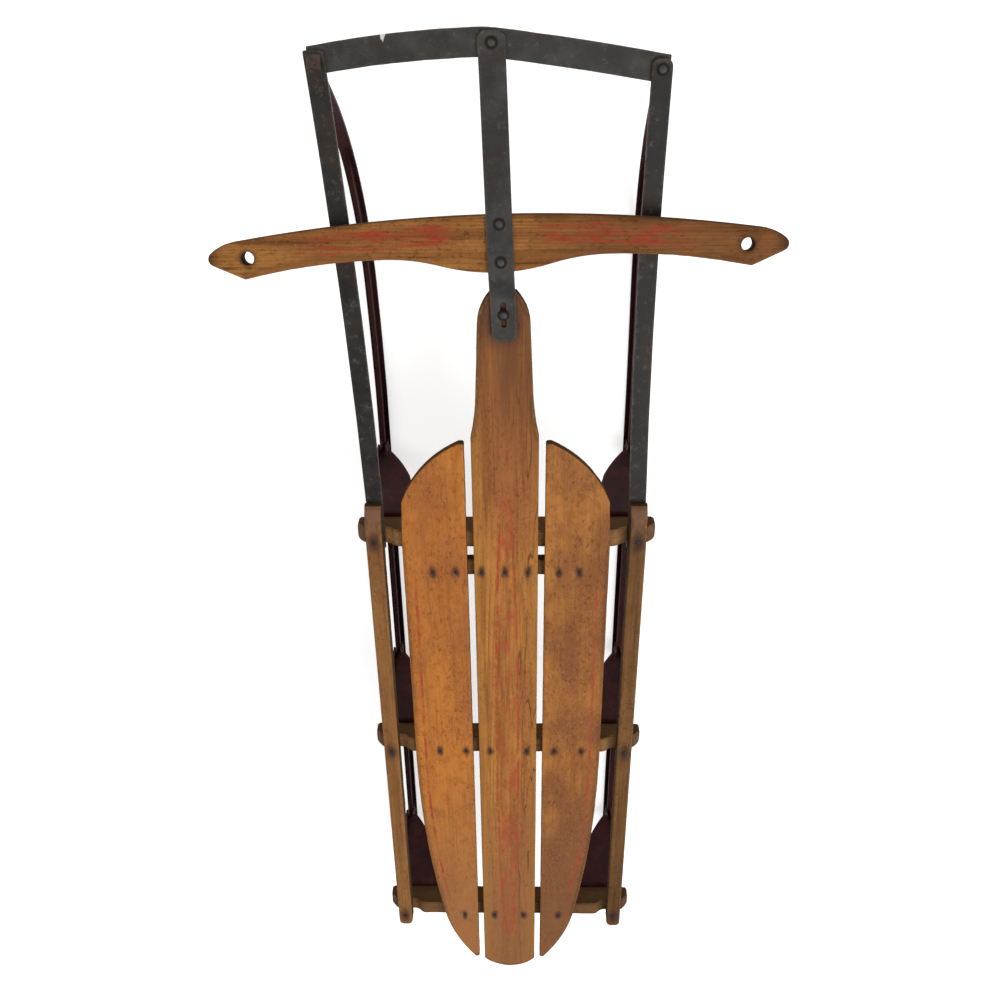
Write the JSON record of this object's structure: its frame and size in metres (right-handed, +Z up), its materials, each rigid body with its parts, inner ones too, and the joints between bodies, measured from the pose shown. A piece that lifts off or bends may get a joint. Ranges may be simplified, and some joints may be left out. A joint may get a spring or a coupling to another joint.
{
  "type": "steerable wooden runner sled",
  "caption": "Low wooden coasting sled with slatted deck, crossbars and side rails on pressed-steel knees and steel runners, steered by a wooden handlebar that flexes the runner fronts.",
  "frame": {"origin": "on the ground, under the middle of the sled's overall length and width", "axes": "+X to the rider's right, +Y forward to the bumper, +Z up"},
  "size_m": [0.5618, 1.2785, 0.1837],
  "materials": {
    "deck_wood": "worn amber varnish",
    "frame_wood": "worn, greyed varnish",
    "handle_wood": "worn varnish with faded red",
    "maroon_steel": "old dark maroon paint",
    "dark_steel": "dark patina",
    "fastener_steel": "dull, rusted"
  },
  "bodies": {
    "frame": {"center_slat": "deck_wood", "side_slat_left": "deck_wood", "side_slat_right": "deck_wood", "crossbar_front": "frame_wood", "crossbar_middle": "frame_wood", "crossbar_rear": "frame_wood", "deck_cleat": "frame_wood", "side_rail_left": "frame_wood", "side_rail_right": "frame_wood", "knee_front_left": "maroon_steel", "knee_front_right": "maroon_steel", "knee_middle_left": "maroon_steel", "knee_middle_right": "maroon_steel", "knee_rear_left": "maroon_steel", "knee_rear_right": "maroon_steel", "runner_left": "maroon_steel", "runner_right": "maroon_steel", "side_bar_left": "dark_steel", "side_bar_right": "dark_steel", "pivot_bolt": "fastener_steel"},
    "bumper": {"bumper": "dark_steel", "tongue_rivet": "fastener_steel", "corner_rivet_left": "fastener_steel", "corner_rivet_right": "fastener_steel"},
    "steering": {"steering_tongue": "dark_steel", "handlebar": "handle_wood", "handlebar_rivets": "fastener_steel"}
  },
  "joints": [
    {"name": "bumper_shift", "type": "slide", "parent": "frame", "child": "bumper", "axis": [1, 0, 0], "range_m": [-0.0172, 0.0352], "deforming": ["runner_left", "runner_right", "side_bar_left", "side_bar_right"]},
    {"name": "steer", "type": "hinge", "parent": "bumper", "child": "steering", "pos_m": [-0.00908, 0.62723, 0.148], "axis": [0, 0, 1], "range_deg": [-8.1, 3.9], "stiffness_Nm_per_rad": 60}
  ],
  "couplings": [
    {"joint": "bumper_shift", "follows": "steer", "m_per_rad": -0.24763}
  ]
}
